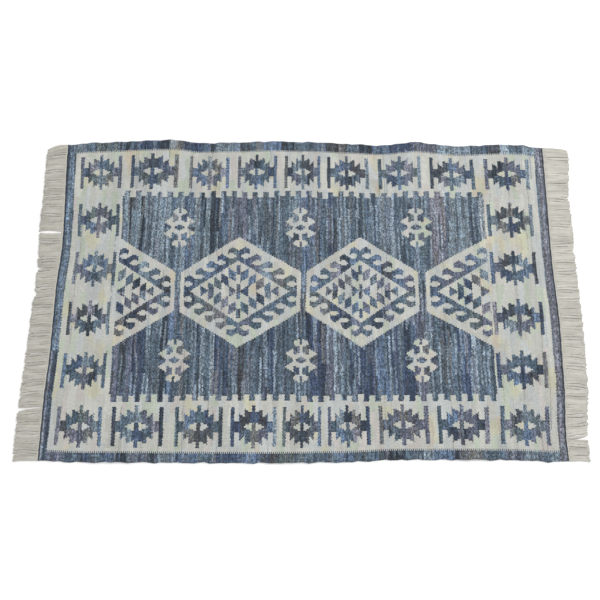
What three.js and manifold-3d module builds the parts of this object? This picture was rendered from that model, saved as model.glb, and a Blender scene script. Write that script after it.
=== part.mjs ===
// A flat-woven denim rug with cotton fringe, lying open on the floor.
// Millimetres, +Z up. X runs along the warp from one fringed end to the other, Y runs across it
// from the near selvedge to the far one, and the origin is on the floor under the rug's middle.
import * as THREE from "three";
import { mergeVertices } from "three/addons/utils/BufferGeometryUtils.js";
import Module from "manifold-3d";

const wasm = await Module();
wasm.setup();

// Driving dimensions of the woven cloth
const CLOTH_LENGTH = 1800;
const CLOTH_WIDTH = 1200;
const CLOTH_THICKNESS = 5;
const CLOTH_COLUMNS = 48;
const CLOTH_ROWS = 24;

// An uneven edge pulls the weave beside it along, less and less up to this distance
const EDGE_FADE = 320;
// The ends of the cloth lie flat, and its low waves grow from there over this distance
const END_FADE = 120;

// Driving dimensions of the fringe at each end
const STRANDS_PER_END = 148;
const HEADING_WIDTH = 8;
const HEADING_HEIGHT = 5;
const HEADING_GAP = 0.3;
const HEADING_INSET = 2;
const ROOT_DEPTH = 3;
const TIP_SPREAD = 3.5;
const GAP_DECAY = 60;

// Width and height of one strand from its root in the heading to its tip
const STRAND_SECTIONS = [
  { along: 0, width: 5.4, height: 4.6 },
  { along: 0.55, width: 5.2, height: 4.0 },
  { along: 1, width: 4.2, height: 3.0 },
];

// How far each edge runs outside its straight line, by the place along that edge
const FAR_EDGE = [
  { at: -900, out: -2.5 },
  { at: -800, out: 7 },
  { at: -590, out: 15 },
  { at: -480, out: 16.5 },
  { at: -400, out: 5 },
  { at: -265, out: 8 },
  { at: -135, out: 11 },
  { at: 40, out: 9 },
  { at: 155, out: 2 },
  { at: 280, out: -5 },
  { at: 415, out: 7 },
  { at: 580, out: -8 },
  { at: 795, out: -2 },
  { at: 900, out: -16 },
];
const NEAR_EDGE = [
  { at: -900, out: 8.5 },
  { at: -750, out: 14 },
  { at: -137, out: 16.5 },
  { at: 100, out: 14 },
  { at: 325, out: 5 },
  { at: 530, out: 5 },
  { at: 715, out: 6 },
  { at: 845, out: 12 },
  { at: 900, out: 10 },
];
const LEFT_EDGE = [
  { at: -600, out: 9 },
  { at: -415, out: 8 },
  { at: -205, out: 0 },
  { at: 5, out: -1 },
  { at: 185, out: -10 },
  { at: 600, out: 1 },
];
const RIGHT_EDGE = [
  { at: -600, out: -8 },
  { at: -535, out: -11 },
  { at: -310, out: 0 },
  { at: -130, out: 3 },
  { at: 140, out: -4 },
  { at: 400, out: -2 },
  { at: 600, out: -1 },
];

// Low waves where the cloth stands off the floor: the middle of each, its half lengths and height
const WAVES = [
  { x: -535, y: 640, along: 95, across: 190, height: 7 },
  { x: -120, y: 640, along: 120, across: 150, height: 4 },
  { x: 415, y: 640, along: 90, across: 180, height: 6 },
  { x: 700, y: 620, along: 80, across: 120, height: 4 },
  { x: -660, y: -630, along: 130, across: 120, height: 4 },
  { x: -60, y: -640, along: 170, across: 110, height: 4 },
  { x: 560, y: -630, along: 110, across: 130, height: 5 },
  { x: -300, y: 190, along: 160, across: 240, height: 2.5 },
  { x: 260, y: -140, along: 190, across: 220, height: 2.5 },
];

// Strand length past the heading and sideways lean of its tip, by the place along the end
const LEFT_FRINGE = [
  { at: -600, reach: 79, lean: -6 },
  { at: -540, reach: 82, lean: 0 },
  { at: -440, reach: 81, lean: -3 },
  { at: -390, reach: 79, lean: -14 },
  { at: -250, reach: 80, lean: -9 },
  { at: -60, reach: 75, lean: -4 },
  { at: 5, reach: 71, lean: -6 },
  { at: 100, reach: 76, lean: -8 },
  { at: 250, reach: 84, lean: 2 },
  { at: 430, reach: 76, lean: -5 },
  { at: 540, reach: 74, lean: -9 },
  { at: 600, reach: 70, lean: -20 },
];
const RIGHT_FRINGE = [
  { at: -600, reach: 68, lean: 1 },
  { at: -530, reach: 68, lean: 2 },
  { at: -470, reach: 72, lean: 5 },
  { at: -300, reach: 77, lean: -11 },
  { at: -100, reach: 78, lean: -3 },
  { at: 170, reach: 82, lean: 2 },
  { at: 380, reach: 80, lean: -4 },
  { at: 560, reach: 91, lean: -6 },
  { at: 600, reach: 89, lean: -11 },
];

// Where the strands have parted into locks, and how wide each parting is at the tips
const LEFT_PARTINGS = [
  { at: 237, open: 15 },
  { at: 97, open: 9 },
  { at: 0, open: 8 },
  { at: -421, open: 17 },
];
const RIGHT_PARTINGS = [
  { at: 376, open: 10 },
  { at: 163, open: 8 },
  { at: -335, open: 9 },
  { at: -527, open: 15 },
];

const denim = new THREE.MeshStandardMaterial({ color: 0x66758f, roughness: 0.92, metalness: 0 });
const cotton = new THREE.MeshStandardMaterial({ color: 0xc9c3b4, roughness: 0.95, metalness: 0 });

// Value of one column of a table at a place, eased from row to row and level past its ends
function fromRows(rows, column, place) {
  const next = rows.findIndex((row) => row.at > place);
  if (next === 0) return rows[0][column];
  if (next < 0) return rows[rows.length - 1][column];
  const low = rows[next - 1];
  const high = rows[next];
  const share = THREE.MathUtils.smoothstep(place, low.at, high.at);
  return THREE.MathUtils.lerp(low[column], high[column], share);
}

// Repeatable numbers from 0 to 1 for the small unevenness of the strands
function randomFrom(seed) {
  let state = seed;
  return () => {
    state = (Math.imul(state, 1664525) + 1013904223) >>> 0;
    return state / 4294967296;
  };
}

// How much of an edge's unevenness is left at a distance in from it
function edgeShare(distance) {
  return 1 - THREE.MathUtils.smoothstep(distance, 0, EDGE_FADE);
}

// Where a point of the straight rectangle lies in the real, slightly pulled outline
function pulled(x, y) {
  const left = fromRows(LEFT_EDGE, "out", y) * edgeShare(CLOTH_LENGTH / 2 + x);
  const right = fromRows(RIGHT_EDGE, "out", y) * edgeShare(CLOTH_LENGTH / 2 - x);
  const near = fromRows(NEAR_EDGE, "out", x) * edgeShare(CLOTH_WIDTH / 2 + y);
  const far = fromRows(FAR_EDGE, "out", x) * edgeShare(CLOTH_WIDTH / 2 - y);
  return { x: x + right - left, y: y + far - near };
}

// Height of the cloth's underside over the floor
function lift(x, y) {
  const fade = THREE.MathUtils.smoothstep(CLOTH_LENGTH / 2 - Math.abs(x), 0, END_FADE);
  const waves = WAVES.map((wave) => {
    const reach = Math.hypot((x - wave.x) / wave.along, (y - wave.y) / wave.across);
    return wave.height * (1 - THREE.MathUtils.smoothstep(reach, 0, 1));
  });
  return fade * Math.max(...waves);
}

// Closed geometry from points and triangles, turned so that its faces point outwards
function closedGeometry(points, triangles) {
  let volume = 0;
  for (const [a, b, c] of triangles) {
    volume += points[a].dot(new THREE.Vector3().crossVectors(points[b], points[c]));
  }
  const facing = volume < 0 ? triangles.map(([a, b, c]) => [a, c, b]) : triangles;
  const geometry = new THREE.BufferGeometry().setFromPoints(points);
  geometry.setIndex(facing.flat());
  return geometry;
}

// A bar through rings of four points each, closed at both ends
function loft(rings) {
  const points = rings.flat();
  const triangles = [];
  for (let ring = 0; ring < rings.length - 1; ring += 1) {
    for (let corner = 0; corner < 4; corner += 1) {
      const a = ring * 4 + corner;
      const b = ring * 4 + ((corner + 1) % 4);
      triangles.push([a, b, b + 4], [a, b + 4, a + 4]);
    }
  }
  const last = (rings.length - 1) * 4;
  triangles.push([0, 2, 1], [0, 3, 2]);
  triangles.push([last, last + 1, last + 2], [last, last + 2, last + 3]);
  return closedGeometry(points, triangles);
}

// The cloth: one sheet of even thickness with a pulled outline and low waves
function clothGeometry() {
  const across = CLOTH_ROWS + 1;
  const layer = (CLOTH_COLUMNS + 1) * across;
  const points = [];
  for (const height of [0, CLOTH_THICKNESS]) {
    for (let column = 0; column <= CLOTH_COLUMNS; column += 1) {
      for (let row = 0; row <= CLOTH_ROWS; row += 1) {
        const x = (column / CLOTH_COLUMNS - 0.5) * CLOTH_LENGTH;
        const y = (row / CLOTH_ROWS - 0.5) * CLOTH_WIDTH;
        const place = pulled(x, y);
        points.push(new THREE.Vector3(place.x, place.y, lift(x, y) + height));
      }
    }
  }
  const index = (column, row) => column * across + row;
  const triangles = [];
  for (let column = 0; column < CLOTH_COLUMNS; column += 1) {
    for (let row = 0; row < CLOTH_ROWS; row += 1) {
      const a = index(column, row);
      const b = index(column + 1, row);
      const c = index(column + 1, row + 1);
      const d = index(column, row + 1);
      triangles.push([a, c, b], [a, d, c]);
      triangles.push([a + layer, b + layer, c + layer], [a + layer, c + layer, d + layer]);
    }
  }
  const rim = [];
  for (let column = 0; column < CLOTH_COLUMNS; column += 1) rim.push(index(column, 0));
  for (let row = 0; row < CLOTH_ROWS; row += 1) rim.push(index(CLOTH_COLUMNS, row));
  for (let column = CLOTH_COLUMNS; column > 0; column -= 1) rim.push(index(column, CLOTH_ROWS));
  for (let row = CLOTH_ROWS; row > 0; row -= 1) rim.push(index(0, row));
  rim.forEach((a, step) => {
    const b = rim[(step + 1) % rim.length];
    triangles.push([a, b, b + layer], [a, b + layer, a + layer]);
  });
  return closedGeometry(points, triangles);
}

// A rectangle standing on the floor across a strand or along the heading
function ring(inner, outer, height) {
  return [
    new THREE.Vector3(inner.x, inner.y, 0),
    new THREE.Vector3(outer.x, outer.y, 0),
    new THREE.Vector3(outer.x, outer.y, height),
    new THREE.Vector3(inner.x, inner.y, height),
  ];
}

// Place on the cloth's end edge, as the straight line between the cloth's own rim points
function endEdge(side, y) {
  const step = CLOTH_WIDTH / CLOTH_ROWS;
  const low = Math.min(Math.floor((y + CLOTH_WIDTH / 2) / step), CLOTH_ROWS - 1);
  const from = low * step - CLOTH_WIDTH / 2;
  const a = pulled(side * CLOTH_LENGTH / 2, from);
  const b = pulled(side * CLOTH_LENGTH / 2, from + step);
  const share = (y - from) / step;
  return {
    x: THREE.MathUtils.lerp(a.x, b.x, share),
    y: THREE.MathUtils.lerp(a.y, b.y, share),
  };
}

// The narrow knotted heading that holds one end's strands, beside the cloth's edge
function headingGeometry(side) {
  const rings = [];
  const step = CLOTH_WIDTH / CLOTH_ROWS;
  for (let row = 0; row <= CLOTH_ROWS; row += 1) {
    const straight = row * step - CLOTH_WIDTH / 2;
    const limit = CLOTH_WIDTH / 2 - HEADING_INSET;
    const place = endEdge(side, THREE.MathUtils.clamp(straight, -limit, limit));
    const inner = { x: place.x + side * HEADING_GAP, y: place.y };
    const outer = { x: inner.x + side * HEADING_WIDTH, y: place.y };
    rings.push(ring(inner, outer, HEADING_HEIGHT));
  }
  return loft(rings);
}

// Sideways shift of a strand's tip where the fringe has parted into locks
function partingShift(partings, y) {
  let shift = 0;
  for (const parting of partings) {
    const distance = y - parting.at;
    shift += Math.sign(distance) * (parting.open / 2) * Math.exp(-Math.abs(distance) / GAP_DECAY);
  }
  return shift;
}

// One strand lying on the floor, from its root in the heading out to its tip
function strandGeometry(side, y, rows, partings, random) {
  const root = endEdge(side, y);
  const rootX = root.x + side * (HEADING_GAP + HEADING_WIDTH);
  const reach = fromRows(rows, "reach", y) - TIP_SPREAD * random();
  const drift = fromRows(rows, "lean", y) + partingShift(partings, y) + (random() - 0.5);
  const rings = STRAND_SECTIONS.map(({ along, width, height }) => {
    const x = rootX + side * (along * reach - (along === 0 ? ROOT_DEPTH : 0));
    const middle = root.y + drift * along * along;
    return ring({ x, y: middle - width / 2 }, { x, y: middle + width / 2 }, height);
  });
  return loft(rings);
}

// A closed geometry as a solid that can be joined
function solidOf(geometry) {
  const merged = mergeVertices(geometry);
  return new wasm.Manifold(new wasm.Mesh({
    numProp: 3,
    vertProperties: new Float32Array(merged.getAttribute("position").array),
    triVerts: new Uint32Array(merged.getIndex().array),
  }));
}

// A joined solid as geometry again
function geometryOf(solid) {
  const mesh = solid.getMesh();
  const geometry = new THREE.BufferGeometry();
  geometry.setAttribute("position", new THREE.BufferAttribute(mesh.vertProperties, mesh.numProp));
  geometry.setIndex(new THREE.BufferAttribute(mesh.triVerts, 1));
  return geometry;
}

// The fringe of one end: its heading with every strand fused to it at the root
function fringeGeometry(side, rows, partings, seed) {
  const random = randomFrom(seed);
  let solid = solidOf(headingGeometry(side));
  const span = CLOTH_WIDTH - 2 * HEADING_INSET;
  const pitch = span / STRANDS_PER_END;
  for (let strand = 0; strand < STRANDS_PER_END; strand += 1) {
    const y = (strand + 0.5) * pitch - span / 2;
    solid = solid.add(solidOf(strandGeometry(side, y, rows, partings, random)));
  }
  return geometryOf(solid);
}

function namedMesh(name, geometry, material) {
  geometry.computeVertexNormals();
  const mesh = new THREE.Mesh(geometry, material);
  mesh.name = name;
  return mesh;
}

const rug = new THREE.Group();
rug.add(namedMesh("cloth", clothGeometry(), denim));
rug.add(namedMesh("fringe_left", fringeGeometry(-1, LEFT_FRINGE, LEFT_PARTINGS, 11), cotton));
rug.add(namedMesh("fringe_right", fringeGeometry(1, RIGHT_FRINGE, RIGHT_PARTINGS, 23), cotton));

export default rug;
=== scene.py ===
"""A flat-woven denim rug with a cotton fringe at each end, lying on a pale studio floor.

Metres throughout, but for the tables of stripes, cells and facets, which are in millimetres. X runs
along the warp, from one fringed end to the other, and Y across it.
"""

import logging
import math
from dataclasses import dataclass, field
from enum import Enum

import bpy
import numpy as np
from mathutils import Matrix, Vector


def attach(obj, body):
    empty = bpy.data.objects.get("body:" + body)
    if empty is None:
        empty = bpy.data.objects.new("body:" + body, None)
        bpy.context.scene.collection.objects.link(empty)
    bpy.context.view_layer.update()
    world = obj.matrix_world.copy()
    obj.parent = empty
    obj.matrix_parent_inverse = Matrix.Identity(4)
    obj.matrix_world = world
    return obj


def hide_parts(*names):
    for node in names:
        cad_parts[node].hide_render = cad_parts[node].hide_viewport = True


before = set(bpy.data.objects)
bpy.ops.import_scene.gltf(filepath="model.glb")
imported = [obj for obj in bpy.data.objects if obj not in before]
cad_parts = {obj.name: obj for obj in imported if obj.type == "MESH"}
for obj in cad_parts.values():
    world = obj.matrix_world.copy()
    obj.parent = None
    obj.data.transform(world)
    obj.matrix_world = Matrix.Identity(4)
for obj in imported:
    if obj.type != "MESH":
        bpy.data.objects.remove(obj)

log = logging.getLogger("denim_rug")
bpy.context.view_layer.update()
LIGHT_LEVEL = 1.18
TURN = 2 * math.pi


class Shade(Enum):
    """The yarn colours of the rug, in display values from 0 to 255."""

    INK = (46, 56, 68)
    NAVY = (60, 74, 98)
    SLATE = (84, 100, 114)
    TEAL = (74, 93, 106)
    BLUE = (94, 113, 138)
    STEEL = (118, 133, 144)
    SKY = (140, 155, 168)
    DUSK = (98, 103, 119)
    CHARCOAL = (66, 69, 75)
    MOSS = (90, 102, 104)
    TAUPE = (110, 111, 111)
    PALE = (164, 172, 176)
    LILAC = (126, 127, 139)
    CREAM = (198, 199, 192)
    CHALK = (194, 198, 197)
    STRAW = (203, 200, 170)
    LEAF = (190, 198, 184)
    ROSE = (199, 195, 190)
    APRICOT = (207, 193, 168)
    HUSK = (168, 166, 155)
    COTTON = (222, 219, 210)
    TWINE = (202, 200, 189)

    def linear(self) -> tuple[float, float, float, float]:
        """Scene colour that shows as this shade under the studio light."""
        parts = [((c / 255 + 0.055) / 1.055) ** 2.4 / LIGHT_LEVEL for c in self.value]
        return (*parts, 1.0)


@dataclass(frozen=True)
class Stripe:
    """One weft stripe or yarn block, from its start to the next one's."""

    start: float
    shade: Shade


def bands(text: str) -> tuple[Stripe, ...]:
    """Stripes from a weaver's list, each with its start in thousandths and its shade."""
    rows = [row.split() for row in text.split(",")]
    return tuple(Stripe(float(start) / 1000, Shade[name]) for start, name in rows)


@dataclass(frozen=True)
class Cell:
    """One cell of a row of motifs: its start, its motif's middle and reach to each side, in mm."""

    start: float
    middle: float
    left: float
    right: float


@dataclass(frozen=True)
class Facet:
    """One small block inside a medallion, with its place and slanting height band, in mm."""

    inner: float
    outer: float
    level: float
    half: float


class Signal:
    """A number or colour that changes over a surface, carried by a socket of a node tree."""

    def __init__(self, socket: bpy.types.NodeSocket) -> None:
        """Keep the socket and the tree that it belongs to."""
        self.socket = socket
        self.tree = socket.id_data

    def math(self, operation: str, *others: "Signal | float") -> "Signal":
        """Result of one Math node on this number and others."""
        return formula(self.tree, operation, self, *others)

    def __add__(self, other: "Signal | float") -> "Signal":
        """Sum."""
        return self.math("ADD", other)

    def __sub__(self, other: "Signal | float") -> "Signal":
        """Difference."""
        return self.math("SUBTRACT", other)

    def __rsub__(self, other: float) -> "Signal":
        """Difference from a number in front."""
        return formula(self.tree, "SUBTRACT", other, self)

    def __mul__(self, other: "Signal | float") -> "Signal":
        """Product."""
        return self.math("MULTIPLY", other)

    def __truediv__(self, other: "Signal | float") -> "Signal":
        """Quotient."""
        return self.math("DIVIDE", other)

    def size(self) -> "Signal":
        """Absolute value."""
        return self.math("ABSOLUTE")

    def floor(self) -> "Signal":
        """Next whole number below."""
        return self.math("FLOOR")

    def wrap(self, period: float) -> "Signal":
        """Remainder within a period, never negative."""
        return self.math("FLOORED_MODULO", period)

    def least(self, limit: float) -> "Signal":
        """Number that is kept from falling under a limit."""
        return self.math("MAXIMUM", limit)

    def most(self, limit: float) -> "Signal":
        """Number that is kept from rising over a limit."""
        return self.math("MINIMUM", limit)

    def above(self, limit: "Signal | float") -> "Signal":
        """1 where the number is over a limit, and 0 elsewhere."""
        return self.math("GREATER_THAN", limit)

    def below(self, limit: "Signal | float") -> "Signal":
        """1 where the number is under a limit, and 0 elsewhere."""
        return self.math("LESS_THAN", limit)

    def near(self, middle: float, reach: float) -> "Signal":
        """1 where the number is within a reach of a middle value, and 0 elsewhere."""
        return self.math("COMPARE", middle, reach)

    def either(self, other: "Signal") -> "Signal":
        """Union of two masks."""
        return self.math("MAXIMUM", other)

    def blend(self, off: "Signal | float", on: "Signal | float") -> "Signal":
        """Number that goes from one value to another as this mask goes from 0 to 1."""
        return (on - off) * self + off

    __radd__ = __add__
    __rmul__ = __mul__


def wired(
    tree: bpy.types.NodeTree,
    kind: str,
    inputs: dict[int | str, object],
    output: int | str = 0,
    **settings: object,
) -> Signal:
    """Add a shader node.

    Args:
        tree: Node tree that gets the node.
        kind: The node's type.
        inputs: Signal or fixed value of each input, by its name or number.
        output: Name or number of the output that is wanted.
        settings: The node's own settings.

    Returns:
        That output.
    """
    node = tree.nodes.new(kind)
    for name, value in settings.items():
        setattr(node, name, value)
    for place, value in inputs.items():
        if isinstance(value, Signal):
            tree.links.new(value.socket, node.inputs[place])
        else:
            node.inputs[place].default_value = value
    return Signal(node.outputs[output])


def formula(tree: bpy.types.NodeTree, operation: str, *values: Signal | float) -> Signal:
    """Result of one Math node on signals and fixed numbers."""
    return wired(tree, "ShaderNodeMath", dict(enumerate(values)), operation=operation)


def joined(x: Signal, y: Signal | float, z: Signal | float = 0.0) -> Signal:
    """Vector made of three numbers."""
    return wired(x.tree, "ShaderNodeCombineXYZ", {0: x, 1: y, 2: z})


def chance(x: Signal, y: Signal | float, z: Signal | float = 0.0) -> Signal:
    """Number from 0 to 1 that is fixed for each set of three whole numbers, like a dice throw."""
    return wired(x.tree, "ShaderNodeTexWhiteNoise", {"Vector": joined(x, y, z)}, "Value")


def clouds(
    x: Signal, y: Signal, scale: float, detail: float = 1.0, output: str = "Fac"
) -> Signal:
    """Soft noise over the cloth, with so many features a metre and octaves of finer ones."""
    inputs = {"Vector": joined(x, y), "Scale": scale, "Detail": detail}
    return wired(x.tree, "ShaderNodeTexNoise", inputs, output)


def split(vector: Signal) -> list[Signal]:
    """The three numbers of a colour or vector."""
    node = wired(vector.tree, "ShaderNodeSeparateXYZ", {0: vector}).socket.node
    return [Signal(socket) for socket in node.outputs]


def ramp(place: Signal, low: float, high: float, stripes: tuple[Stripe, ...]) -> Signal:
    """Colour of stripes along a stretch.

    Args:
        place: Where the colour is read.
        low: Start of the stretch.
        high: End of the stretch.
        stripes: The stripes in order.

    Returns:
        The colour at that place.
    """
    colour = wired(place.tree, "ShaderNodeValToRGB", {0: (place - low) / (high - low)})
    table = colour.socket.node.color_ramp
    table.interpolation = "CONSTANT"
    while len(table.elements) < len(stripes):
        table.elements.new(1.0)
    for element, stripe in zip(list(table.elements), stripes):
        element.position = min(max((stripe.start - low) / (high - low), 0.0), 1.0)
        element.color = stripe.shade.linear()
    return colour


def mixed(mask: Signal | float, off: Signal, on: Signal) -> Signal:
    """Colour that goes from one to another with a mask or a fixed share."""
    inputs = {"Factor": mask, "A": off, "B": on}
    return wired(off.tree, "ShaderNodeMix", inputs, "Result", data_type="RGBA")


def scaled(colour: Signal, factor: Signal) -> Signal:
    """Colour made lighter or darker by a factor."""
    inputs = {0: colour, "Scale": factor}
    return wired(colour.tree, "ShaderNodeVectorMath", inputs, operation="SCALE")


def stepped(place: Signal, steps: list[tuple[float, float]]) -> Signal:
    """Number that changes in steps along a stretch.

    Args:
        place: Where the number is read.
        steps: Start of each step and its value, the first one's start being unused.

    Returns:
        The value at that place.
    """
    level = steps[0][1]
    for (_, before), (start, after) in zip(steps, steps[1:]):
        level = place.above(start).math("MULTIPLY_ADD", after - before, level)
    return level


class Effect:
    """A shader node group with named sockets, built once and placed in any tree."""

    def __init__(self, name: str, *inputs: str) -> None:
        """Start a group.

        Args:
            name: Name of the group.
            inputs: Names of its inputs.
        """
        self.tree = bpy.data.node_groups.new(name, "ShaderNodeTree")
        self.add_sockets("INPUT", *inputs)
        entry = self.tree.nodes.new("NodeGroupInput")
        self.given = [Signal(entry.outputs[label]) for label in inputs]

    def add_sockets(self, side: str, *labels: str) -> None:
        """Add inputs or outputs, all of them numbers but for Color."""
        for label in labels:
            kind = "NodeSocketColor" if label == "Color" else "NodeSocketFloat"
            self.tree.interface.new_socket(label, in_out=side, socket_type=kind)

    def give(self, **results: Signal) -> "Effect":
        """Finish the group with the outputs that it is to have."""
        self.add_sockets("OUTPUT", *results)
        end = self.tree.nodes.new("NodeGroupOutput")
        for label, result in results.items():
            self.tree.links.new(result.socket, end.inputs[label])
        return self

    def placed(self, *values: Signal | float) -> dict[str, Signal]:
        """Put the group in the tree of its first input, and hand out its outputs by name."""
        inputs = dict(enumerate(values))
        first = wired(values[0].tree, "ShaderNodeGroup", inputs, node_tree=self.tree)
        return {socket.name: Signal(socket) for socket in first.socket.node.outputs}


@dataclass(frozen=True)
class WeaveGroup:
    """Weft-faced plain weave: ribs over the warps, crossed by short dashes of weft."""

    rib: float = 0.0052
    dash: float = 0.0034
    stretch: float = 0.034
    warp_share: float = 0.14
    rounding: tuple[float, float] = (3.4, 2.6)

    def build(self) -> Effect:
        """Make the group.

        Returns:
            A group that gives, for a place on the cloth, the middle of the weft dash there, the
            side of the dovetail that the dash is on, two numbers of its own, the stretches of
            warp that show through and the relief.
        """
        effect = Effect("plain_weave", "Length", "Width")
        length, width = effect.given
        ribs = width / self.rib
        rib = ribs.floor()
        stagger = rib.wrap(2.0) * 0.5
        dashes = length / self.dash + stagger
        dash = dashes.floor()
        stretch = (length / self.stretch + chance(rib, 2.0) * 9.0).floor()
        across = dashes - dash - 0.5
        along = ribs - rib - 0.5
        dash_round, rib_round = self.rounding
        return effect.give(
            Length=(dash + 0.5 - stagger) * self.dash,
            Width=(rib + 0.5) * self.rib,
            Tooth=(length / self.dash).floor().wrap(2.0) - 0.5,
            Fleck=chance(rib, dash),
            Hue=chance(rib, dash, 7.0),
            Warp=chance(rib, stretch, 5.0).above(1.0 - self.warp_share),
            Relief=(1.0 - across * across * dash_round) * (1.0 - along * along * rib_round),
        )


@dataclass(frozen=True)
class StarGroup:
    """The eight-pointed star between two bars that fills each cell of the border.

    Its rays are columns, each with a start, a height there and a slope. Its yarn blocks start at
    the places of block_starts, and the inner ones are split at a level that steps up and down.
    """

    half_width: float = 0.080
    rays: tuple[tuple[float, float, float], ...] = (
        (0.0, 0.069, 0.0),
        (0.006, 0.0431, 0.48),
        (0.031, 0.0055, 0.79),
        (0.050, 0.018, 0.0),
        (0.067, 0.064, 0.0),
    )
    eye_start: float = 0.007
    eye_end: float = 0.034
    eye_height: float = 0.0145
    eye_slope: float = 0.48
    block_starts: tuple[float, ...] = (-0.067, -0.045, -0.012, 0.018, 0.045, 0.067)
    split_end: float = 0.045
    split_level: float = 0.006
    split_step: float = 0.02

    def build(self) -> Effect:
        """Make the group.

        Returns:
            A group that gives the star's mask and the number of the yarn block at a place.
        """
        effect = Effect("border_star", "Across", "Up")
        across, up = effect.given
        out = across.size()
        high = up.size()
        base = stepped(out, [(start, height) for start, height, _ in self.rays])
        slope = stepped(out, [(start, rise) for start, _, rise in self.rays])
        body = high.below(out * slope + base) * out.below(self.half_width)
        width = (self.eye_end - self.eye_start) / 2
        rim = (self.eye_start - out) * self.eye_slope + self.eye_height
        eye = out.near(self.eye_start + width, width) * high.below(rim)
        blocks = [(start, number) for number, start in enumerate(self.block_starts, 1)]
        column = stepped(across, [(0, 0), *blocks])
        level = column.wrap(2.0) * self.split_step - self.split_level
        lower = up.below(level) * out.below(self.split_end)
        return effect.give(Denim=body * (1.0 - eye), Block=column + lower * 8.0)


@dataclass(frozen=True)
class MedallionGroup:
    """The hexagon with latch hooks around a stepped rhombus of small blocks."""

    half_width: float = 0.205
    half_height: float = 0.211
    outer_slope: float = 0.66
    inner_slope: float = 0.71
    inner_height: float = 0.1195
    band: float = 0.019
    band_end: float = 0.192
    pitch: float = 0.038
    hook_top: float = 0.034
    hook_peak: float = 0.0215
    hook_slope: float = 0.69
    spot_place: float = 0.025
    spot_level: float = -0.0015
    spot_flat: float = 0.006
    spot_height: float = 0.0095
    facets: tuple[Facet, ...] = (
        Facet(0, 6.5, 83, 18),
        Facet(0, 6.5, 0, 30),
        Facet(8, 34, -14, 13),
        Facet(8, 34, 49, 18.5),
        Facet(35, 60, 11, 17.5),
        Facet(59.5, 85.5, -21, 17.5),
        Facet(86.5, 106.5, -60, 22),
        Facet(107.5, 132, -95, 24),
    )

    def build(self) -> Effect:
        """Make the group.

        Returns:
            A group that gives the hexagon's mask, the denim in it and the number of its block.
        """
        effect = Effect("hooked_medallion", "Across", "Up")
        across, up = effect.given
        out = across.size()
        high = up.size()
        hexagon = (out * self.outer_slope + high).below(self.half_height)
        hook = (out / self.pitch).floor()
        local = out - hook * self.pitch
        fall = self.inner_slope * self.pitch
        level = high + hook * fall - (self.inner_height + self.band)
        crown = self.hook_top - (local - self.hook_peak).size() * self.hook_slope
        side = ((local - self.spot_place).size() - self.spot_flat).least(0.0)
        spot = ((level - self.spot_level).size() + side * self.hook_slope).below(self.spot_height)
        rising = high + out * self.inner_slope
        ring = rising.above(self.inner_height) * out.below(self.band_end)
        denim = ring * level.below(crown) * (1.0 - spot)
        block = hook + 10.0
        slant = high - out * self.hook_slope
        for number, facet in enumerate(self.facets):
            middle = (facet.inner + facet.outer) / 2000
            piece = out.near(middle, middle - facet.inner / 1000)
            straight = high if facet.inner == 0 else slant
            piece = piece * straight.near(facet.level / 1000, facet.half / 1000)
            denim = denim.either(piece)
            block = piece.blend(block, float(number))
        quarter = across.above(0.0) * 16.0 + up.above(0.0) * 32.0
        inside = hexagon * out.below(self.half_width)
        return effect.give(Inside=inside, Denim=denim, Block=block + quarter)


@dataclass(frozen=True)
class CrossGroup:
    """The small hooked cross between the medallions: a ring with four barbs and two forks."""

    ring_height: float = 0.031
    ring_slope: float = 0.47
    ring_width: float = 0.030
    heart_height: float = 0.0135
    heart_slope: float = 0.62
    barb_start: float = 0.027
    barb_end: float = 0.055
    barb_flat: float = 0.004
    barb_level: float = 0.0235
    barb_half: float = 0.0175
    barb_slope: float = 0.65
    stem: float = 0.0055
    stem_level: float = 0.040
    stem_half: float = 0.017
    fork_flat: float = 0.009
    fork_end: float = 0.025
    fork_level: float = 0.0635
    fork_half: float = 0.0140
    fork_slope: float = 0.50
    overlap: float = 0.001
    pocket: float = 0.056
    side_place: float = 0.042
    side_half: float = 0.015

    def build(self) -> Effect:
        """Make the group.

        Returns:
            A group that gives the mask of the cream cross, and the mask and numbers of the
            yarn blocks that fill the pockets round it.
        """
        effect = Effect("hooked_cross", "Across", "Up")
        across, up = effect.given
        out = across.size()
        high = up.size()
        heart = (out * self.heart_slope + high).below(self.heart_height)
        ring = (out * self.ring_slope + high).below(self.ring_height)
        ring = ring * out.below(self.ring_width) * (1.0 - heart)
        middle = (self.barb_start + self.barb_end) / 2
        taper = (out - self.barb_start - self.barb_flat).least(0.0) * self.barb_slope
        barb = out.near(middle, middle - self.barb_start)
        barb = barb * ((high - self.barb_level).size() + taper).below(self.barb_half)
        stem = out.below(self.stem) * high.near(self.stem_level, self.stem_half)
        middle = (self.stem + self.fork_end) / 2
        taper = (out - self.fork_flat).least(0.0) * self.fork_slope
        fork = out.near(middle, middle - self.stem + self.overlap)
        fork = fork * ((high - self.fork_level).size() + taper).below(self.fork_half)
        side = out.near(self.side_place, self.side_half) * high.below(self.side_half)
        crotch = out.below(self.ring_width) * high.below(self.pocket)
        quarter = across.above(0.0) + up.above(0.0) * 2.0
        return effect.give(
            Cream=ring.either(barb).either(stem).either(fork),
            Pocket=side.either(crotch),
            Block=quarter + heart * 4.0 + side * 8.0,
        )


@dataclass(frozen=True)
class YarnGroup:
    """Picks a denim yarn for each numbered block."""

    shades: tuple[Stripe, ...] = bands(
        "0 INK, 90 NAVY, 200 DUSK, 340 SLATE, 480 TEAL, 530 BLUE, 630 CHARCOAL, 710 MOSS, "
        "760 STEEL, 870 LILAC, 930 TAUPE"
    )

    def build(self) -> Effect:
        """Make the group.

        Returns:
            A group that gives the colour of a block from its numbers.
        """
        effect = Effect("denim_yarn", "Block", "Cell", "Row")
        return effect.give(Color=ramp(chance(*effect.given), 0.0, 1.0, self.shades))


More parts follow.
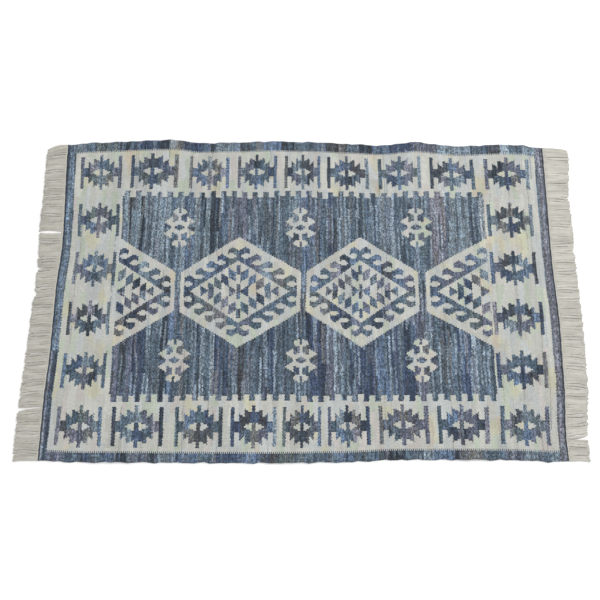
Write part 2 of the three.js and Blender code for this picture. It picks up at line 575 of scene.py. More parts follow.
@dataclass(frozen=True)
class CreamGroup:
    """Undyed and off-white yarns in streaks that run with the weft, with stains and a slit painted
    as dashes of shade.
    """

    streak: float = 0.021
    patch: float = 0.110
    pick: float = 0.0030
    base: float = 0.905
    fine_play: float = 0.10
    streak_play: float = 0.15
    thread_share: float = 0.06
    thread_length: float = 0.4
    thread_depth: float = 0.28
    slit_place: float = -0.7005
    slit_half: float = 0.0017
    slit_sway: float = 0.010
    slit_pitch: float = 0.0104
    # Painted shade: how much the slit's dashes are darkened.
    slit_painted_shade: float = 0.42
    stain_limit: float = 0.585
    stain_rise: float = 9.0
    stain_most: float = 0.65
    shades: tuple[Stripe, ...] = bands("0 CREAM, 480 CHALK, 760 LEAF, 880 ROSE")
    stains: tuple[Stripe, ...] = bands("0 STRAW, 880 APRICOT")

    def build(self) -> Effect:
        """Make the group.

        Returns:
            A group that gives the colour of the cream ground at a place.
        """
        effect = Effect("cream_yarn", "Length", "Width")
        length, width = effect.given
        drift = clouds(length, width, scale=9.0)
        streak = (length / self.streak + drift * 3.0).floor()
        patch = (width / self.patch + chance(streak, 5.0) * 4.0).floor()
        line = (length / self.pick + drift * 2.0).floor()
        thread = chance(line, 2.0).above(1.0 - self.thread_share)
        thread = thread * chance(line, patch, 8.0).above(1.0 - self.thread_length)
        # Painted shade: dark dashes along the slit stand in for the shade in its opening.
        slit = (length + (drift - 0.5) * self.slit_sway).near(self.slit_place, self.slit_half)
        gaps = chance((width / self.slit_pitch).floor(), 1.0).above(0.35)
        slit = slit * gaps * drift.above(0.47)
        shade = (chance(streak, patch, 5.0) - 0.5) * self.streak_play
        tone = chance(line, patch, 3.0) * self.fine_play + self.base + shade
        tone = tone - thread * self.thread_depth - slit * self.slit_painted_shade
        ground = ramp(chance(streak, patch), 0.0, 1.0, self.shades)
        stain = clouds(length, width * 0.6, scale=13.0, detail=2.0) - self.stain_limit
        stain = (stain * self.stain_rise).most(self.stain_most).least(0.0)
        tint = ramp(chance(streak, 11.0), 0.0, 1.0, self.stains)
        return effect.give(Color=scaled(mixed(stain, ground, tint), tone))


@dataclass(frozen=True)
class RugPattern:
    """The whole woven pattern: borders, field, medallions, crosses and stripes.

    A pair named stray holds the dice throw over which stray yarn shows, and its share there.
    Each cross is held as the start of its stretch and its middle.
    """

    half_length: float = 0.9
    outer_band: float = 0.559
    near_band: float = 0.5620
    end_band: float = 0.866
    band_inner: float = 0.398
    battlement: float = 0.377
    battlement_pitch: float = 0.0398
    battlement_start: float = -0.6735
    battlement_share: float = 0.50
    battlement_play: float = 0.011
    field_left: float = -0.681
    field_right: float = 0.664
    row_pitch: float = 0.1914
    first_row: float = -0.4815
    last_row: float = 5.0
    cross_height: float = 0.254
    medallion_level: float = 0.0033
    tooth: float = 0.0045
    drift: float = 0.012
    end_drift: float = 0.006
    end_narrowing: float = 0.0065
    inner_line: float = -0.22
    pick: float = 0.0068
    fine_pick: float = 0.0034
    stretch: float = 0.150
    tones: tuple[float, float, float] = (0.40, 0.54, 0.52)
    star_share: float = 0.12
    medallion_share: float = 0.15
    extremes_below: float = 0.24
    extreme_share: float = 0.60
    pocket_share: float = 0.75
    patch_share: float = 0.22
    patch: tuple[float, float] = (0.09, 0.007)
    end_reach: tuple[float, float] = (-0.02, 0.05)
    stripe_stray: tuple[float, float] = (0.52, 0.65)
    block_stray: tuple[float, float] = (0.72, 0.40)
    band_stray: tuple[float, float] = (0.62, 0.5)
    extremes: tuple[Stripe, ...] = bands("0 SKY, 140 INK")
    far_cells: tuple[Cell, ...] = (
        Cell(-900, -769, 78, 78),
        Cell(-674, -578, 79, 100),
        Cell(-457, -361, 76, 75),
        Cell(-269, -183, 70, 76),
        Cell(-93, -9, 70, 66),
        Cell(70, 155, 73, 85),
        Cell(257, 353, 78, 80),
        Cell(450, 549, 81, 86),
        Cell(654, 759, 86, 85),
    )
    near_cells: tuple[Cell, ...] = (
        Cell(-900, -772, 79, 73),
        Cell(-682, -584, 82, 95),
        Cell(-468, -369, 79, 82),
        Cell(-273, -179, 80, 76),
        Cell(-92, -13, 68, 64),
        Cell(63, 143, 68, 79),
        Cell(237, 335, 83, 88),
        Cell(438, 537, 83, 93),
        Cell(650, 760, 90, 86),
    )
    medallions: tuple[Cell, ...] = (
        Cell(-700, -687.5, 210, 215.5),
        Cell(-462, -243.5, 208, 226),
        Cell(-8, 198.5, 196.5, 208),
        Cell(420, 671.5, 238.5, 233),
    )
    crosses: tuple[tuple[float, float], ...] = ((-0.700, -0.463), (-0.239, -0.018), (0.196, 0.409))
    far_stripes: tuple[Stripe, ...] = bands(
        "-700 STEEL, -656 INK, -640 STEEL, -612 INK, -600 STEEL, -585 SLATE, -572 SKY, "
        "-560 STEEL, -505 SLATE, -485 STEEL, -450 BLUE, -415 STEEL, -388 INK, -372 STEEL, "
        "-352 INK, -318 SLATE, -270 DUSK, -212 SLATE, -50 STEEL, -25 BLUE, 35 SLATE, 80 NAVY, "
        "102 SLATE, 252 NAVY, 272 SKY, 326 SLATE, 455 LILAC, 520 STEEL, 610 SLATE, 645 PALE"
    )
    near_stripes: tuple[Stripe, ...] = bands(
        "-700 DUSK, -655 CHARCOAL, -640 DUSK, -612 NAVY, -575 SLATE, -562 SKY, -550 SLATE, "
        "-518 INK, -495 BLUE, -470 SLATE, -400 NAVY, -378 SKY, -362 SLATE, -338 SKY, "
        "-326 NAVY, -280 SLATE, -242 CHARCOAL, -215 SLATE, -150 NAVY, -115 SLATE, 0 NAVY, "
        "65 DUSK, 95 SKY, 110 SLATE, 150 NAVY, 240 BLUE, 300 NAVY, 385 DUSK, 430 SLATE, "
        "530 NAVY, 580 SKY, 602 SLATE"
    )
    far_blocks: tuple[Stripe, ...] = bands(
        "-870 STEEL, -848 SLATE, -800 MOSS, -705 INK, -665 SLATE, -650 NAVY, -560 INK, "
        "-515 PALE, -493 TAUPE, -470 NAVY, -400 BLUE, -365 INK, -340 STEEL, -250 CHARCOAL, "
        "-215 SLATE, -195 TAUPE, -165 BLUE, -92 INK, -40 SLATE, 75 CHARCOAL, 125 TAUPE, "
        "152 SLATE, 200 INK, 250 BLUE, 310 NAVY, 405 DUSK, 498 STEEL, 620 SLATE, "
        "695 CHARCOAL, 737 SKY, 768 SLATE, 820 STEEL"
    )
    near_blocks: tuple[Stripe, ...] = bands(
        "-870 DUSK, -820 SLATE, -780 NAVY, -745 SLATE, -700 BLUE, -650 INK, -603 DUSK, "
        "-545 INK, -508 STEEL, -450 NAVY, -438 BLUE, -370 SLATE, -318 NAVY, -238 BLUE, "
        "-155 CHARCOAL, -100 MOSS, -12 SLATE, 105 BLUE, 160 SLATE, 240 CHARCOAL, 275 INK, "
        "332 SLATE, 400 SKY, 432 BLUE, 500 INK, 533 TAUPE, 600 SLATE, 680 DUSK, 740 STEEL, "
        "790 SLATE, 830 STEEL"
    )
    left_end: tuple[Stripe, ...] = bands(
        "-20 INK, 5 SLATE, 9 BLUE, 13 STEEL, 19 BLUE, 24 STEEL, 28 SLATE"
    )
    left_near_end: tuple[Stripe, ...] = bands(
        "-20 INK, 3 TAUPE, 6 STEEL, 9 LILAC, 12.5 NAVY, 17 INK, 25 NAVY"
    )
    right_end: tuple[Stripe, ...] = bands(
        "-20 CHARCOAL, 5 TAUPE, 10 DUSK, 14 LILAC, 22 TAUPE, 26 DUSK, 29 SLATE"
    )

    @staticmethod
    def cell_at(place: Signal, cells: tuple[Cell, ...]) -> list[Signal]:
        """Middle of the cell at a place, and its motif's reach to the left and to the right."""
        return [
            stepped(place, [(cell.start / 1000, getattr(cell, part) / 1000) for cell in cells])
            for part in ("middle", "left", "right")
        ]

    @staticmethod
    def across(place: Signal, middle: Signal, left: Signal, right: Signal) -> Signal:
        """Place in a cell, from -1 at its motif's left end through 0 to 1 at its right end."""
        out = place - middle
        return out / out.above(0.0).blend(left, right)

    def halves(
        self, length: Signal, far: Signal, near: tuple[Stripe, ...], beyond: tuple[Stripe, ...]
    ) -> Signal:
        """Colour of stripes along the rug, which differ in its near half and beyond."""
        front, back = (
            ramp(length, -self.half_length, self.half_length, table) for table in (near, beyond)
        )
        return mixed(far, front, back)

    def build(self) -> Effect:
        """Make the group.

        Returns:
            A group that gives the colour and the denim mask at a place on the flat cloth.
        """
        effect = Effect("kilim_pattern", "Length", "Width", "Tooth")
        straight, level, comb = effect.given
        drift = split(clouds(straight, level, scale=6.0, output="Color"))
        length = (drift[0] - 0.5) * self.drift + straight
        width = (drift[1] - 0.5) * self.drift * 0.6 + level
        end_drift = (drift[2] - 0.5) * self.end_drift
        far = width.above(0.0)
        edge = width.size()
        end = straight.size()

        field_mask = edge.below(self.band_inner) * length.above(self.field_left)
        field_mask = field_mask * length.below(self.field_right)
        limit = far.blend(self.near_band, self.outer_band)
        outer_mask = (level.size() + comb * self.tooth).above(limit)
        narrowing = (0.5 - level / (2.0 * self.outer_band)) * self.end_narrowing
        end_mask = (end + end_drift - narrowing).above(self.end_band)

        cells = [self.cell_at(length, table) for table in (self.near_cells, self.far_cells)]
        star_cell = [far.blend(front, back) for front, back in zip(*cells)]
        row = ((width - self.first_row) / self.row_pitch + 0.5).floor()
        row = row.least(0.0).most(self.last_row)
        star = StarGroup().build().placed(
            self.across(length, *star_cell) * StarGroup.half_width,
            width - row * self.row_pitch - self.first_row,
        )
        hexagon_cell = self.cell_at(length, self.medallions)
        hexagon = MedallionGroup().build().placed(
            self.across(length, *hexagon_cell) * MedallionGroup.half_width,
            width - self.medallion_level,
        )
        cross_middle = stepped(length, self.crosses)
        cross = CrossGroup().build().placed(length - cross_middle, edge - self.cross_height)
        teeth = (length - self.battlement_start).wrap(self.battlement_pitch)
        teeth = teeth.below(self.battlement_pitch * self.battlement_share)
        tooth = ((length - self.battlement_start) / self.battlement_pitch).floor()
        limit = (chance(tooth, far) - 0.5) * self.battlement_play + self.battlement
        teeth = (1.0 - teeth) * edge.above(limit)

        inside = hexagon["Inside"]
        in_hexagon = field_mask * inside
        open_field = field_mask * (1.0 - inside)
        ground = 1.0 - cross["Cream"].either(teeth)
        denim = field_mask.blend(star["Denim"], inside.blend(ground, hexagon["Denim"]))
        denim = denim.either(outer_mask.either(end_mask))

        # Each block gets its yarn by its own number, its cell's and its row's.
        yarn = YarnGroup().build()
        block = in_hexagon.blend(star["Block"] + row * 20.0, hexagon["Block"])
        block = open_field.blend(block, cross["Block"] + far * 16.0)
        cell = in_hexagon.blend(star_cell[0] * 90.0, hexagon_cell[0] * 70.0)
        cell = open_field.blend(cell, cross_middle * 50.0).floor()
        blocks = yarn.placed(block, cell, 1.0)["Color"]
        whole = yarn.placed(in_hexagon.blend(row, 40.0), cell, 6.0)["Color"]
        blocks = mixed(in_hexagon.blend(self.star_share, self.medallion_share), blocks, whole)

        line = (length / self.pick).floor()
        part = (level / self.stretch + chance(line, far * 9.0) * 6.0).floor()
        throw = chance(line, part)
        fine = (length / self.fine_pick).floor()
        stretch = (level / self.stretch * 1.4 + chance(fine, 6.0) * 7.0).floor()
        broad, narrow, base = self.tones
        tone = chance(line, part, 4.0) * broad + chance(fine, stretch, 8.0) * narrow + base
        stray = yarn.placed(line, part, 2.0)["Color"]
        stripes = self.halves(length, far, self.near_stripes, self.far_stripes)
        start, share = self.stripe_stray
        stripes = mixed(throw.above(start) * share, stripes, stray)
        extreme = ramp(throw, 0.0, 1.0, self.extremes)
        stripes = mixed(throw.below(self.extremes_below) * self.extreme_share, stripes, extreme)
        stripes = mixed(cross["Pocket"] * self.pocket_share, stripes, blocks)
        start, share = self.block_stray
        blocks = mixed(throw.above(start) * share, blocks, stray)
        strip = self.halves(length, far, self.near_blocks, self.far_blocks)
        start, share = self.band_stray
        strip = mixed(throw.above(start) * share, strip, stray)

        depth = self.half_length - end + end_drift
        tables = (self.left_end, self.left_near_end, self.right_end)
        left, inner, right = (ramp(depth, *self.end_reach, table) for table in tables)
        left = mixed(level.below(self.inner_line), left, inner)
        sides = mixed(straight.above(0.0), left, right)
        patch_width, patch_depth = self.patch
        patch = yarn.placed((level / patch_width).floor(), (depth / patch_depth).floor(), 5.0)
        sides = mixed(self.patch_share, sides, patch["Color"])

        colour = mixed(open_field, blocks, stripes)
        colour = mixed(outer_mask, colour, strip)
        colour = mixed(end_mask, colour, sides)
        cream = CreamGroup().build().placed(straight, level)["Color"]
        return effect.give(Color=mixed(denim, cream, scaled(colour, tone)), Denim=denim)


def matt_shader(
    name: str, roughness: float, sheen: float = 0.0
) -> tuple[bpy.types.Material, bpy.types.ShaderNode]:
    """New matt material, and the shader in it."""
    material = bpy.data.materials.new(name)
    material.use_nodes = True
    shader = material.node_tree.nodes["Principled BSDF"]
    shader.inputs["Roughness"].default_value = roughness
    shader.inputs["Sheen Weight"].default_value = sheen
    return material, shader


def dress(
    shader: bpy.types.ShaderNode, colour: Signal, relief: Signal, depth: float, strength: float
) -> None:
    """Link a colour to a shader, and a relief of some depth as bumps."""
    inputs = {"Height": relief, "Distance": depth, "Strength": strength}
    normal = wired(colour.tree, "ShaderNodeBump", inputs)
    colour.tree.links.new(colour.socket, shader.inputs["Base Color"])
    colour.tree.links.new(normal.socket, shader.inputs["Normal"])


@dataclass(frozen=True)
class DenimWeaveFinish:
    """The woven face: pattern, flecked denim and matt cotton, with the relief of the weave, painted
    shade in its grooves and painted light and shade over soft creases.
    """

    roughness: float = 0.94
    sheen: float = 0.08
    fleck_low: float = 0.478
    fleck_rise: float = 1.30
    fleck_curve: float = 1.3
    mottle: float = 0.55
    tint: float = 0.10
    warp_light: float = 0.30
    # Painted shade: how much the weave's grooves are darkened in colour.
    painted_groove_shade: float = 0.12
    cream_share: float = 0.12
    # Painted light and shade: how strongly soft creases lighten and darken the colour.
    painted_crease_shading: float = 0.30
    bump: float = 0.0007

    def build(self) -> bpy.types.Material:
        """Make the material.

        Returns:
            The finished material of the cloth.
        """
        material, shader = matt_shader("denim_weave", self.roughness, self.sheen)
        flat = wired(shader.id_data, "ShaderNodeUVMap", {}, uv_map=RugCloth.FLAT_MAP)
        length, width, _ = split(flat)
        weave = WeaveGroup().build().placed(length, width)
        pattern = RugPattern().build().placed(weave["Length"], weave["Width"], weave["Tooth"])
        fleck = weave["Fleck"]
        relief = weave["Relief"]
        denim = pattern["Denim"]
        cloud = clouds(length, width * 0.22, scale=170.0, detail=2.0)
        # Painted light and shade: soft streaks along the weft, lighter and darker, stand in for the
        # shading of creases.
        painted_crease_shading = clouds(length, width * 0.35, scale=16.0)
        speckle = fleck.math("POWER", self.fleck_curve) * self.fleck_rise + self.fleck_low - 1.0
        speckle = speckle + (cloud - 0.5) * self.mottle + weave["Warp"] * self.warp_light
        # Painted shade: the tone drops where the weave's relief is low, in its grooves.
        tone = speckle * denim.blend(self.cream_share, 1.0) + (relief - 0.6) * self.painted_groove_shade + 1.0
        tone = tone + (painted_crease_shading - 0.5) * self.painted_crease_shading
        warm = (weave["Hue"] - 0.5) * denim * self.tint
        inputs = {0: pattern["Color"], 1: joined(1.0 + warm, 1.0, 1.0 - warm)}
        tinted = wired(warm.tree, "ShaderNodeVectorMath", inputs, operation="MULTIPLY")
        dress(shader, scaled(tinted, tone), relief + fleck * 0.3, self.bump, strength=1.0)
        return material


@dataclass(frozen=True)
class TwistGroup:
    """Plies and unevenness of twisted yarn, from yarn to yarn and from lock to lock, with painted
    highlights on ridges and locks and painted light growing to the right.
    """

    ply_pitch: float = 0.0042
    yarn_share: float = 0.35
    play: float = 0.40
    # Painted highlight: how much lighter the ply ridges are made in colour.
    painted_ridge_highlight: float = 0.08
    base: float = 0.32

    def build(self) -> Effect:
        """Make the group.

        Returns:
            A group that gives, for a place along and round a yarn, how far its colour is from
            the dark shade to the light one, and the ridges of its plies.
        """
        effect = Effect("twisted_yarn", "Run", "Turn", "X", "Y", "Streak", "Bleach")
        run, turn, x, y, streak, painted_light_slope = effect.given
        yarn = (turn / 2.0).floor()
        around = turn - yarn * 2.0
        ply = run / self.ply_pitch + around * 2.0
        ridge = (ply * TURN).math("SINE") * 0.5 + 0.5
        strand = (yarn / Fringe.yarns).floor()
        tone = chance(yarn, 3.0) * self.yarn_share + chance(strand, 9.0) * (1.0 - self.yarn_share)
        # The lock clouds give tone that changes from lock to lock, and also painted highlight
        # streaks along the locks.
        lock = clouds(x, y * 6.0, scale=11.0, detail=2.0)
        # Painted highlight: the ply ridges are lighter in colour as well as raised by the bump.
        level = tone * self.play + (lock - 0.5) * streak + ridge * self.painted_ridge_highlight
        # Painted light: the yarn gets lighter towards the right, so the right fringe shows more lit
        # than the left.
        return effect.give(Light=level + x * painted_light_slope + self.base, Ridge=ridge)


@dataclass(frozen=True)
class YarnFinish:
    """Twisted yarn: soft and matt, between a dark and a light shade."""

    name: str
    dark: Shade
    light: Shade
    roughness: float = 0.96
    sheen: float = 0.10
    bump: float = 0.0005
    # Strength of the lock clouds: tone from lock to lock and painted highlight streaks along the
    # locks.
    streak: float = 1.1
    # Painted light: how fast the yarn lightens per metre towards the right end.
    painted_light_slope: float = 0.09

    def build(self, twist: Effect) -> bpy.types.Material:
        """Make the material.

        Args:
            twist: Result of TwistGroup.build().

        Returns:
            The finished yarn material.
        """
        material, shader = matt_shader(self.name, self.roughness, self.sheen)
        tree = shader.id_data
        run, turn, _ = split(wired(tree, "ShaderNodeUVMap", {}, uv_map=YarnMesh.YARN_MAP))
        x, y, _ = split(wired(tree, "ShaderNodeTexCoord", {}, "Object"))
        yarn = twist.placed(run, turn, x, y, self.streak, self.painted_light_slope)
        inputs = {"Factor": yarn["Light"], "A": self.dark.linear(), "B": self.light.linear()}
        colour = wired(tree, "ShaderNodeMix", inputs, "Result", data_type="RGBA")
        dress(shader, colour, yarn["Ridge"], self.bump, strength=0.8)
        return material


def new_object(name: str, data: bpy.types.ID) -> bpy.types.Object:
    """Put a mesh, camera or light in the scene as an object at the origin."""
    thing = bpy.data.objects.new(name, data)
    bpy.context.scene.collection.objects.link(thing)
    return thing


def new_piece(name: str, mesh: bpy.types.Mesh, finish: bpy.types.Material) -> bpy.types.Object:
    """Put a dressed mesh in the scene as a finished piece, and report it."""
    mesh.materials.append(finish)
    mesh.shade_smooth()
    log.info("%s: %d faces", name, len(mesh.polygons))
    return new_object(name, mesh)


def add_map(mesh: bpy.types.Mesh, name: str, places: np.ndarray) -> None:
    """Give a mesh a UV map with a place for each corner of its faces."""
    layer = mesh.uv_layers.new(name=name)
    layer.data.foreach_set("uv", places.astype(np.float32).ravel())


def unique_points(node: str) -> np.ndarray:
    """Corner points of a solid of the frame, each one once, in rows."""
    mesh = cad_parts[node].data
    points = np.zeros(len(mesh.vertices) * 3)
    mesh.vertices.foreach_get("co", points)
    return np.unique(np.round(points.reshape(-1, 3), 6), axis=0)


def unit(rows: np.ndarray) -> np.ndarray:
    """Rows of an array, each brought to a length of 1."""
    return rows / np.linalg.norm(rows, axis=1)[:, None]


def smooth_between(values: np.ndarray, places: np.ndarray) -> np.ndarray:
    """Values read between rows along a smooth curve through all rows.

    Args:
        values: One row for each whole place from 0 up.
        places: Places to read, in rows.

    Returns:
        One row for each place.
    """
    last = len(values) - 1
    base = np.clip(np.floor(places).astype(int), 0, last - 1)
    t = (places - base).reshape((-1,) + (1,) * (values.ndim - 1))
    before = values[np.maximum(base - 1, 0)]
    after = values[np.minimum(base + 2, last)]
    low = values[base]
    high = values[base + 1]
    rise = (high - before) / 2
    fall = (after - low) / 2
    cubic = 2 * (low - high) + rise + fall
    square = 3 * (high - low) - 2 * rise - fall
    return low + t * (rise + t * (square + t * cubic))


@dataclass
class RugCloth:
    """The woven cloth, as one closed sheet with ribbed faces on the solid's outline and waves."""

    FLAT_MAP = "flat_cloth"
    BAKE_MAP = "OFBake"

    length: float = 1.8
    width: float = 1.2
    grid: tuple[int, int] = (48, 24)
    columns: int = 96
    end_columns: tuple[float, ...] = (0.0, 0.0008, 0.0024, 0.006)
    first_column: float = 0.014
    rib: float = 0.0052
    rib_steps: int = 3
    rib_depth: float = 0.0009
    rib_crest: float = 0.9
    beat_height: float = 0.0003
    slub_height: float = 0.0001
    rim: float = 0.0024
    rim_edge: float = 0.25
    tuck: float = 0.35
    wobble: float = 0.0036
    wobble_reach: float = 0.012
    map_margin: float = 0.002
    map_span: float = 0.996
    upper_map: tuple[float, float] = (0.306, 0.690)
    under_map: tuple[float, float] = (0.036, 0.262)
    wall_columns: int = 160
    wall_fill: float = 0.9
    wall_line: float = 0.006
    wall_low: float = 0.001
    wall_height: float = 0.005
    shape: np.ndarray = field(init=False)

    def __post_init__(self) -> None:
        """Read the lie of the cloth from the frame's solid."""
        self.shape = self.read_shape()

    def read_shape(self) -> np.ndarray:
        """Sort the solid's corner points into the grid that it was made on.

        Returns:
            Array of grid columns, grid rows and x, y, lower z and upper z.
        """
        points = unique_points("cloth")
        column = np.rint((points[:, 0] / self.length + 0.5) * self.grid[0]).astype(int)
        row = np.rint((points[:, 1] / self.width + 0.5) * self.grid[1]).astype(int)
        shape = np.full((self.grid[0] + 1, self.grid[1] + 1, 4), np.nan)
        for point, i, j in zip(points, column, row):
            low, high = shape[i, j, 2:]
            shape[i, j] = (*point[:2], np.fmin(low, point[2]), np.fmax(high, point[2]))
        return shape

    def lie(self, flat_x: np.ndarray, flat_y: np.ndarray) -> np.ndarray:
        """Where flat places of the cloth lie.

        Args:
            flat_x: Places along the warp on the flat cloth.
            flat_y: Places across it.

        Returns:
            Array of x, y, lower z and upper z for each pair of places.
        """
        columns = (flat_x / self.length + 0.5) * self.grid[0]
        rows = (flat_y / self.width + 0.5) * self.grid[1]
        along = smooth_between(self.shape, columns)
        return smooth_between(along.transpose(1, 0, 2), rows).transpose(1, 0, 2)

    def column_places(self) -> np.ndarray:
        """Flat places of the mesh's columns, closer together at the two ends."""
        half = self.length / 2
        ends = np.array(self.end_columns)
        inner = np.linspace(self.first_column - half, half - self.first_column, self.columns)
        return np.concatenate([ends - half, inner, half - ends[::-1]])

    def rounded(self, distance: np.ndarray) -> np.ndarray:
        """Share of the full thickness at a distance in from an edge."""
        near = np.clip(distance / self.rim, 0.0, 1.0)
        return self.rim_edge + (1.0 - self.rim_edge) * np.sqrt(1.0 - (1.0 - near) ** 2)

    def fullness(self, flat_x: np.ndarray, flat_y: np.ndarray) -> np.ndarray:
        """Share of the full thickness at each pair of places, less in the rounded rim."""
        along = self.rounded(self.length / 2 - np.abs(flat_x))
        across = self.rounded(self.width / 2 - np.abs(flat_y))
        return along[:, None] * across[None, :]

    def heights(self, lie: np.ndarray, flat_x: np.ndarray, flat_y: np.ndarray) -> np.ndarray:
        """Height of the upper face with its ribs, unevenness and rounded rim.

        Args:
            lie: Result of lie() for the same places.
            flat_x: Places along the warp.
            flat_y: Places across it.

        Returns:
            Array of heights over the floor.
        """
        x = flat_x[:, None]
        y = flat_y[None, :]
        rib = 0.5 - 0.5 * np.cos(TURN * y / self.rib)
        beat = np.sin(31.0 * x + 9.0 * y) * np.sin(23.0 * y - 7.0 * x)
        slub = np.sin(140.0 * x + 60.0 * np.sin(3.0 * y)) * np.sin(90.0 * y + 5.0)
        relief = self.rib_depth * (rib - self.rib_crest)
        relief = relief + self.beat_height * beat + self.slub_height * slub
        thick = lie[:, :, 3] - lie[:, :, 2]
        return lie[:, :, 2] + (thick + relief) * self.fullness(flat_x, flat_y)

    def waver(self, face: np.ndarray, columns: np.ndarray, rows: np.ndarray) -> None:
        """Let the selvedges waver a little, where the weft turns round the last warp.

        Args:
            face: Points of one face by column and row, which are moved.
            columns: Flat places of its columns.
            rows: Flat places of its rows.
        """
        reach = np.exp((np.abs(rows) - self.width / 2) / self.wobble_reach)[None, :]
        wave = np.sin(61.0 * columns + 1.0) + np.sin(93.0 * columns) + np.sin(131.0 * columns)
        face[:, :, 1] += self.wobble * np.sign(rows)[None, :] * reach * (wave / 3.0)[:, None]

    def build(self, finish: bpy.types.Material) -> bpy.types.Object:
        """Make the cloth's mesh.

        Args:
            finish: Material of both faces.

        Returns:
            The finished piece.
        """
        columns = self.column_places()
        ribs = int(round(self.width / self.rib))
        fine = np.linspace(-0.5, 0.5, ribs * self.rib_steps + 1) * self.width
        coarse = fine[:: self.rib_steps]
        upper = self.lie(columns, fine)
        lower = self.lie(columns, coarse)
        top = np.dstack([upper[:, :, :2], self.heights(upper, columns, fine)])
        floor = lower[:, :, 2]
        tuck = (1.0 - self.fullness(columns, coarse)) * (lower[:, :, 3] - floor) * self.tuck
        under = np.dstack([lower[:, :, :2], np.maximum(floor + tuck, 0.0)])
        self.waver(top, columns, fine)
        self.waver(under, columns, coarse)
        points = np.concatenate([top.reshape(-1, 3), under.reshape(-1, 3)])
        grids = [np.meshgrid(columns, rows, indexing="ij") for rows in (fine, coarse)]
        flat = np.concatenate([np.stack([x.ravel(), y.ravel()], axis=1) for x, y in grids])
        upper_count = len(columns) * len(fine)
        faces = self.grid_faces(len(columns), len(fine), 0)
        faces += [face[::-1] for face in self.grid_faces(len(columns), len(coarse), upper_count)]
        walls = self.wall_faces(len(columns), len(fine), len(coarse))
        mesh = bpy.data.meshes.new("rug_cloth")
        mesh.from_pydata(points.tolist(), [], faces + walls)
        self.add_maps(mesh, flat, upper_count, len(faces))
        return new_piece("rug_cloth", mesh, finish)

    @staticmethod
    def grid_faces(columns: int, rows: int, first: int) -> list[list[int]]:
        """Quads of one face of the sheet, seen from above, whose points start at a number."""
        i, j = np.indices((columns - 1, rows - 1)).reshape(2, -1)
        corner = first + i * rows + j
        return np.stack([corner, corner + rows, corner + rows + 1, corner + 1], axis=1).tolist()

    def wall_faces(self, columns: int, across: int, below: int) -> list[tuple[int, ...]]:
        """Faces that close the rim between the ribbed upper face and the underside.

        Args:
            columns: Points along the warp.
            across: Points across the upper face.
            below: Points across the underside.

        Returns:
            The faces, one for each column along the sides and one for each rib along the ends.
        """
        faces = []
        first = columns * across
        for i in range(columns - 1):
            a, b = i * across, (i + 1) * across
            c, d = first + i * below, first + (i + 1) * below
            faces.append((c, d, b, a))
            faces.append((d + below - 1, c + below - 1, a + across - 1, b + across - 1))
        last = (columns - 1) * across
        under = first + (columns - 1) * below
        for j in range(below - 1):
            steps = range(j * self.rib_steps, (j + 1) * self.rib_steps + 1)
            faces.append((first + j + 1, first + j, *steps))
            faces.append((under + j, under + j + 1, *(last + step for step in reversed(steps))))
        return faces

    def add_maps(
        self, mesh: bpy.types.Mesh, flat: np.ndarray, upper_count: int, first_wall: int
    ) -> None:
        """Give the mesh its flat map for the pattern, and a square map for baking.

        Args:
            mesh: The cloth's mesh.
            flat: Flat place of each point.
            upper_count: How many points the upper face has.
            first_wall: Number of the first face of the rim.
        """
        corners = np.zeros(len(mesh.loops), dtype=int)
        mesh.loops.foreach_get("vertex_index", corners)
        share = flat / (self.length, self.width) + 0.5
        upper, under = (
            share * (self.map_span, span) + (self.map_margin, low)
            for low, span in (self.upper_map, self.under_map)
        )
        on_top = (np.arange(len(flat)) < upper_count)[:, None]
        places = np.where(on_top, upper, under)[corners]
        width = self.wall_fill * self.map_span / self.wall_columns
        for number, face in enumerate(mesh.polygons[first_wall:]):
            line, column = divmod(number, self.wall_columns)
            left = self.map_margin + self.map_span * column / self.wall_columns
            low = self.wall_low + self.wall_line * line
            for step, loop in enumerate(face.loop_indices):
                if step < 2:
                    places[loop] = (left + width * step, low)
                else:
                    back = (step - 2) / (face.loop_total - 3)
                    places[loop] = (left + width * (1 - back), low + self.wall_height)
        add_map(mesh, self.FLAT_MAP, flat[corners])
        add_map(mesh, self.BAKE_MAP, places)


